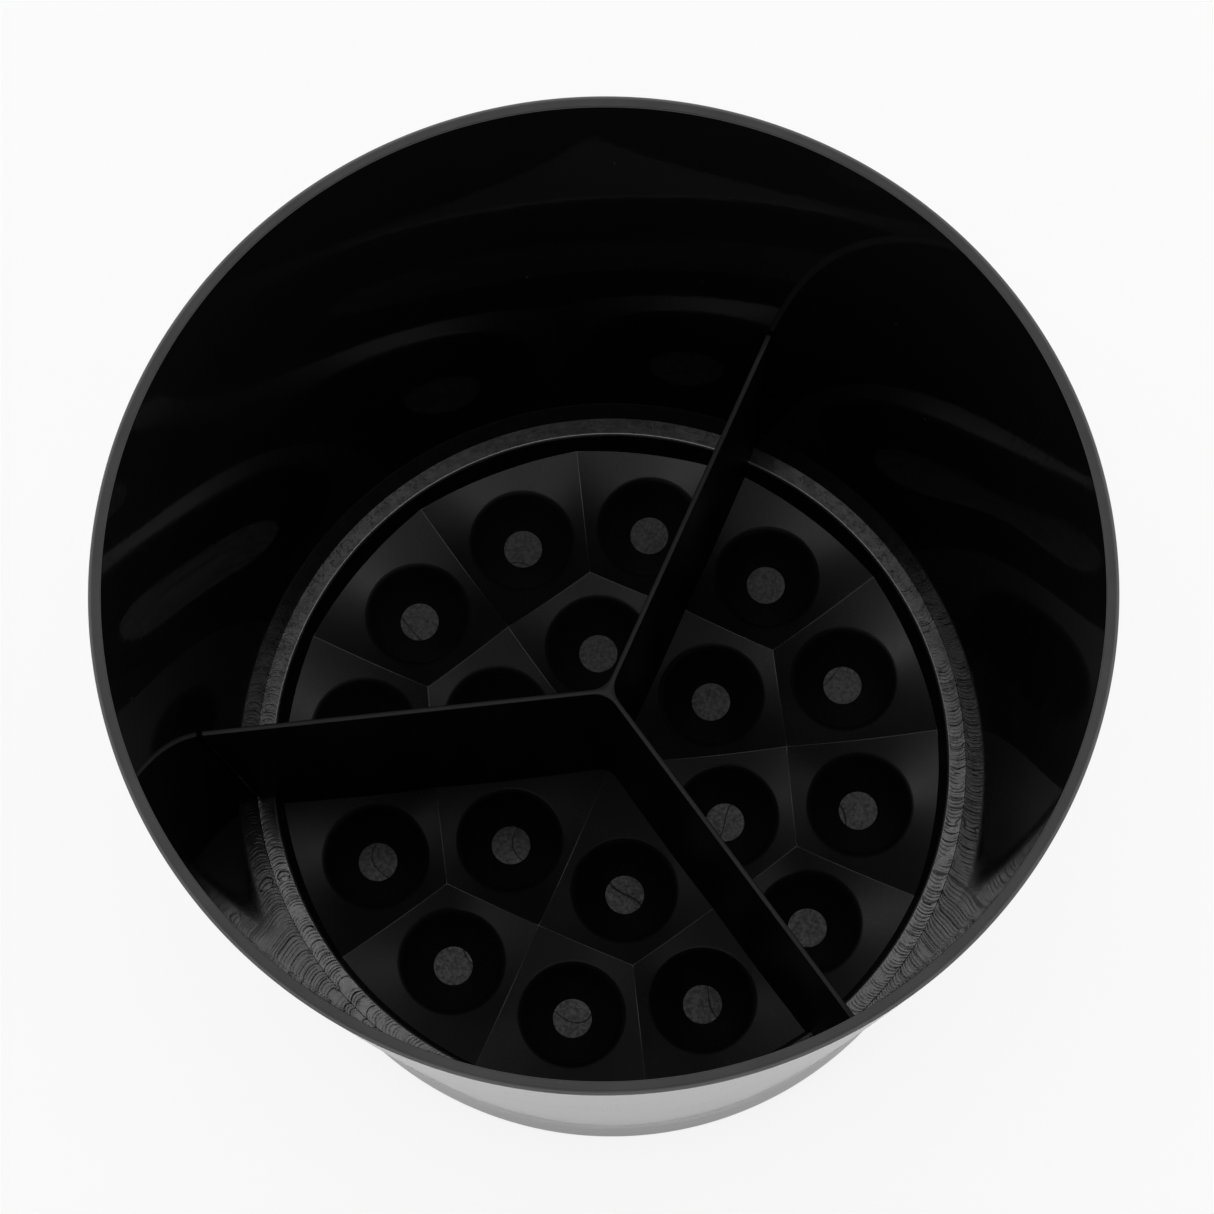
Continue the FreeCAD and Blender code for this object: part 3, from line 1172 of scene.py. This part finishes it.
@dataclass
class Divider:
    """The lift-out divider: three thin drafted wings from a filleted hub, standing on the tray's rim."""

    tray: PocketTray
    top: float
    gap: float = 0.3
    thick: float = 0.7
    draw: float = math.radians(0.25)
    count: int = 3
    turn: float = math.radians(60)
    hub_round: float = 3.2
    edge: float = 0.1
    end_round: float = 0.18
    edge_steps: int = 3
    arc_steps: int = 8

    ROWS = 4
    END_ROW = 1

    @classmethod
    def from_frame(cls, tray: PocketTray) -> "Divider":
        """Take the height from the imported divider."""
        return cls(tray, top=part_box("divider")[1].z / MM)

    def half(self, height: float) -> float:
        """Half the wings' thickness at a height."""
        return self.thick / 2 + (self.top - height) * math.tan(self.draw)

    def foot(self, radius: float) -> float:
        """Measure the wings' lower edge, a gap above the ridges of the tray.

        Args:
            radius: The distance from the axis.

        Returns:
            The height of the edge there.
        """
        here = Vector((radius, 0.0))
        rings = (self.tray.outer, self.tray.inner)
        nearest = min((spoke(math.pi / ring.count, ring.radius) - here).length for ring in rings)
        return self.tray.level(nearest) + self.gap

    def stations(self) -> list[float]:
        """Find where a wing's lower edge bends.

        Returns:
            The radii, from the hub to the notch over the tray's rim.
        """
        outer, inner = self.tray.outer, self.tray.inner
        hub = (self.thick / 2 + self.hub_round) / math.tan(math.pi / self.count)
        return [
            hub,
            inner.radius * math.cos(math.pi / inner.count),
            self.tray.junction(math.pi / inner.count),
            outer.radius * math.cos(math.pi / outer.count),
            self.tray.ring_inner - self.gap,
        ]

    def corner_turns(self) -> list[float]:
        """Angles of the steps round an edge."""
        return [math.radians(90 * step / self.edge_steps) for step in range(1, self.edge_steps + 1)]

    def hub_arc(self, wing: float, height: float, inset: float) -> list[Vector]:
        """Draw the fillet between a wing and the next.

        Args:
            wing: The wing's angle.
            height: The height.
            inset: How far the fillet is drawn in.

        Returns:
            Its points, without its ends.
        """
        step = math.pi / self.count
        centre = spoke(wing + step, (self.thick / 2 + self.hub_round) / math.sin(step))
        radius = self.hub_round - (self.half(height) - self.thick / 2) + inset
        start, sweep = wing - math.pi / 2, math.pi - 2 * step
        return [centre + spoke(start - sweep * index / self.arc_steps, radius)
                for index in range(1, self.arc_steps)]

    def wing_end(self, height: float, inset: float) -> list[Pair]:
        """Draw the rounded end of a wing.

        Args:
            height: The height.
            inset: How far it is drawn in from the sides.

        Returns:
            Distances along the wing and aside, from its right side to its left.
        """
        end = self.tray.wall.inside(height) - self.gap - inset
        half = self.half(height) - inset
        turns = [0.0, *self.corner_turns()]
        right = [(end - self.end_round * (1 - math.sin(turn)), self.end_round * (1 - math.cos(turn)) - half)
                 for turn in turns]
        return right + [(along, -aside) for along, aside in reversed(right)]

    def loop(self, draft: Draft, height: float | None, inset: float = 0.0,
             to_end: bool = True) -> list[Verts]:
        """Add one loop of points round the divider.

        Args:
            draft: The mesh.
            height: The loop's height, or nothing where it follows the lower edge.
            inset: How far it is drawn in from the sides.
            to_end: Whether it runs to the wings' ends, and not only to the notch.

        Returns:
            For each wing its right side, its end, its left side from the end, and the next fillet.
        """
        rows: list[Verts] = []
        for wing in (self.turn + angle for angle in even_angles(self.count)):
            along, aside = spoke(wing), spoke(wing + math.pi / 2)
            right, left, end = [], [], []
            for radius in self.stations():
                up = self.foot(radius) if height is None else height
                half = self.half(up) - inset
                right.append(draft.point(along * radius - aside * half, up))
                left.append(draft.point(along * radius + aside * half, up))
            if to_end and height is not None:
                end = [draft.point(along * out + aside * off, height)
                       for out, off in self.wing_end(height, inset)]
            up = self.foot(self.stations()[0]) if height is None else height
            arc = [draft.point(spot, up) for spot in self.hub_arc(wing, up, inset)]
            rows += [right, end, left[::-1], arc]
        return rows

    def cap(self, draft: Draft, rows: list[Verts], height: float, first: int = 0) -> None:
        """Close a loop across the wings' thickness, and over the hub where it starts at station 0.

        Args:
            draft: The mesh.
            rows: The loop's points, as loop gives them.
            height: The height over the hub.
            first: The station where it starts.
        """
        hub: Verts = []
        for index in range(0, len(rows), self.ROWS):
            right, end, left, arc = rows[index:index + self.ROWS]
            draft.band(right[first:], left[::-1][first:], closed=False)
            if end:
                draft.face([right[-1], *end, left[0]])
            hub += [right[0], left[-1], *arc]
        if first == 0:
            draft.band(hub, [draft.point(AXIS, height)] * len(hub))

    def build(self, finish: bpy.types.Material) -> None:
        """Make the piece.

        Args:
            finish: Its material.
        """
        draft = Draft()
        seat = self.tray.ring_top
        shelf = self.loop(draft, seat)
        loops = [shelf, self.loop(draft, self.top - self.edge)]
        for turn in self.corner_turns():
            loops.append(self.loop(draft, self.top - self.edge * (1 - math.sin(turn)),
                                   self.edge * (1 - math.cos(turn))))
        draft.bands([sum(rows, []) for rows in loops])
        self.cap(draft, loops[-1], self.top)
        self.cap(draft, shelf, seat, first=len(self.stations()) - 1)
        lower = self.loop(draft, None, to_end=False)
        inner_shelf = [[] if index % self.ROWS == self.END_ROW else row for index, row in enumerate(shelf)]
        draft.band(sum(lower, []), sum(inner_shelf, []))
        self.cap(draft, lower, self.foot(0.0))
        draft.piece("divider_wings", Body.DIVIDER, Slot.DIVIDER, "divider", [finish])


@dataclass
class FootPads:
    """The stick-on pads, with two grooves round the face that stands on the desk."""

    count: int = 6
    groove_depth: float = 0.25
    groove_width: float = 0.6
    grooves: Pair = (1.6, 3.0)
    edge: float = 0.4
    soft: float = 0.06
    hold: float = 0.02
    arc_steps: int = 3
    segments: int = 64

    def outline(self, radius: float, thick: float) -> list[Corner]:
        """Draw the turned outline of a pad.

        Args:
            radius: The pad's radius.
            thick: Its thickness.

        Returns:
            The corners, from the middle of its face to the middle of its back.
        """
        corners = [Corner(0.0, 0.0)]
        slope = self.groove_depth / 2
        for start in self.grooves:
            stop = start + self.groove_width
            corners += [
                Corner(start, 0.0, self.soft),
                Corner(start + slope, self.groove_depth),
                Corner(stop - slope, self.groove_depth),
                Corner(stop, 0.0, self.soft),
            ]
        back = [Corner(radius, 0.0, self.edge), Corner(radius, thick, self.soft), Corner(0.0, thick)]
        return corners + back

    def build(self, finish: bpy.types.Material) -> None:
        """Make the pieces.

        Args:
            finish: Their material.
        """
        for number in range(1, self.count + 1):
            low, high = (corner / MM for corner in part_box(f"foot_pad_{number}"))
            middle = (low + high) / 2
            draft = Draft()
            corners = self.outline((high.x - low.x) / 2, high.z - low.z)
            outline = rounded(corners, steps=self.arc_steps, hold=self.hold)
            draft.turn(outline, self.segments, middle.to_2d())
            draft.piece(f"grip_pad_{number}", Body.BARREL, Slot.PAD, f"foot_pad_{number}", [finish])


@dataclass
class Studio:
    """A pale floor, a pale sky with a dim roof, and one broad lamp."""

    floor_reach: float = 8.0
    floor_tone: float = 0.92
    floor_roughness: float = 0.85
    fleck_scale: float = 0.4
    fleck_depth: float = 0.01
    horizon: float = 2.0
    overhead: float = 0.07
    roof: Pair = (0.58, 0.78)
    camera_white: float = 0.8
    lamp_spot: tuple[float, float, float] = (-4.0, 44.0, 420.0)
    lamp_size: Pair = (225.0, 92.0)
    lamp_level: float = 1.65

    def floor(self) -> None:
        """Lay the floor under the pads."""
        draft = bmesh.new()
        bmesh.ops.create_grid(draft, x_segments=1, y_segments=1, size=self.floor_reach)
        mesh = bpy.data.meshes.new("floor")
        draft.to_mesh(mesh)
        draft.free()
        material, graph = new_material("pale_floor")
        fleck = graph.noise(graph.place(), self.fleck_scale, 3.0)
        tone = self.floor_tone * (0.99 + 0.02 * fleck)
        relief = graph.bump(fleck, self.fleck_depth)
        lit = plastic(graph, graph.grey(tone), self.floor_roughness + 0.1 * fleck, relief)
        white = graph.node("ShaderNodeEmission")
        seen = graph.node("ShaderNodeLightPath", output="Is Camera Ray")
        mixed = {0: self.camera_white * seen, 1: lit, 2: white}
        surface(graph, graph.node("ShaderNodeMixShader", inputs=mixed))
        mesh.materials.append(material)
        made = bpy.data.objects.new("floor", mesh)
        bpy.context.scene.collection.objects.link(made)
        made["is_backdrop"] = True

    def sky(self) -> None:
        """Light the room like a white tent with a dim roof."""
        world = bpy.data.worlds.new("studio")
        bpy.context.scene.world = world
        world.use_nodes = True
        graph = Graph(world.node_tree)
        _, _, up = graph.split(graph.node("ShaderNodeTexCoord", output="Generated"))
        level = self.horizon + (self.overhead - self.horizon) * up.step(*self.roof)
        backdrop = graph.node("ShaderNodeBackground", inputs={"Color": graph.grey(level)})
        graph.node("ShaderNodeOutputWorld", inputs={"Surface": backdrop})

    def lamp(self) -> None:
        """Hang an oval lamp over the caddy, a little behind its axis, and face it down."""
        data = bpy.data.lights.new("top_lamp", "AREA")
        data.shape = "ELLIPSE"
        data.size, data.size_y = (width * MM for width in self.lamp_size)
        data.energy = self.lamp_level * math.pi * math.pi * data.size * data.size_y / 4
        made = bpy.data.objects.new("top_lamp", data)
        made.location = Vector(self.lamp_spot) * MM
        bpy.context.scene.collection.objects.link(made)

    def build(self) -> None:
        """Set up the floor, the sky and the lamp."""
        self.floor()
        self.sky()
        self.lamp()


@dataclass(frozen=True)
class PhotoCamera:
    """The camera that took the photograph, fitted to the circles of the caddy."""

    frame_px: float = 1214.0
    focal_px: float = 3730.3
    sensor: float = 36.0
    spot: tuple[float, float, float] = (-6.78, -105.38, 526.33)
    lean: float = 14.155
    turn: float = -3.856
    roll: float = -2.315

    def build(self) -> None:
        """Make the camera and look through it."""
        data = bpy.data.cameras.new("photo_camera")
        data.sensor_fit = "HORIZONTAL"
        data.sensor_width = self.sensor
        data.lens = self.sensor * self.focal_px / self.frame_px
        made = bpy.data.objects.new("photo_camera", data)
        turns = ((self.turn, "Z"), (self.lean, "X"), (self.roll, "Z"))
        pose = Matrix.Translation(Vector(self.spot) * MM)
        for degrees, axis in turns:
            pose = pose @ Matrix.Rotation(math.radians(degrees), 4, axis)
        made.matrix_world = pose
        bpy.context.scene.collection.objects.link(made)
        bpy.context.scene.camera = made


def write_sizes() -> None:
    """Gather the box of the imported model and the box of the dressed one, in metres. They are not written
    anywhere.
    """
    boxes = {"cad": cad_box, "visual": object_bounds()}
    {word: [list(corner) for corner in box] for word, box in boxes.items()}


def main() -> None:
    """Build the caddy's pieces in order, then the studio."""
    logging.basicConfig(level=logging.INFO, format="%(name)s: %(message)s")
    bpy.context.scene.view_settings.view_transform = "Standard"
    barrel = Barrel.from_frame()
    tray = PocketTray.from_frame(barrel.wall)
    divider = Divider.from_frame(tray)
    barrel.build(PolishedPlastic("barrel_black").material(),
                 SatinPlastic("rim_black", roughness=0.45, tone=0.03).material())
    tray.build(SatinPlastic("tray_black", roughness=0.26).material(),
               ScuffedDisc("disc_black").material(), CutRing("ring_black").material(),
               # The ring's inner rounding: a tone far above the tray's and a high index paint a highlight
               # line along the edge.
               SatinPlastic("edge_black_painted_highlight", roughness=0.25, tone=0.12, index=2.2).material())
    divider.build(SatinPlastic("divider_black", roughness=0.4, tone=0.008).material())
    FootPads().build(PadRubber("pad_black").material())
    PhotoCamera().build()
    Studio().build()
    write_sizes()


if __name__ == "__main__":
    main()
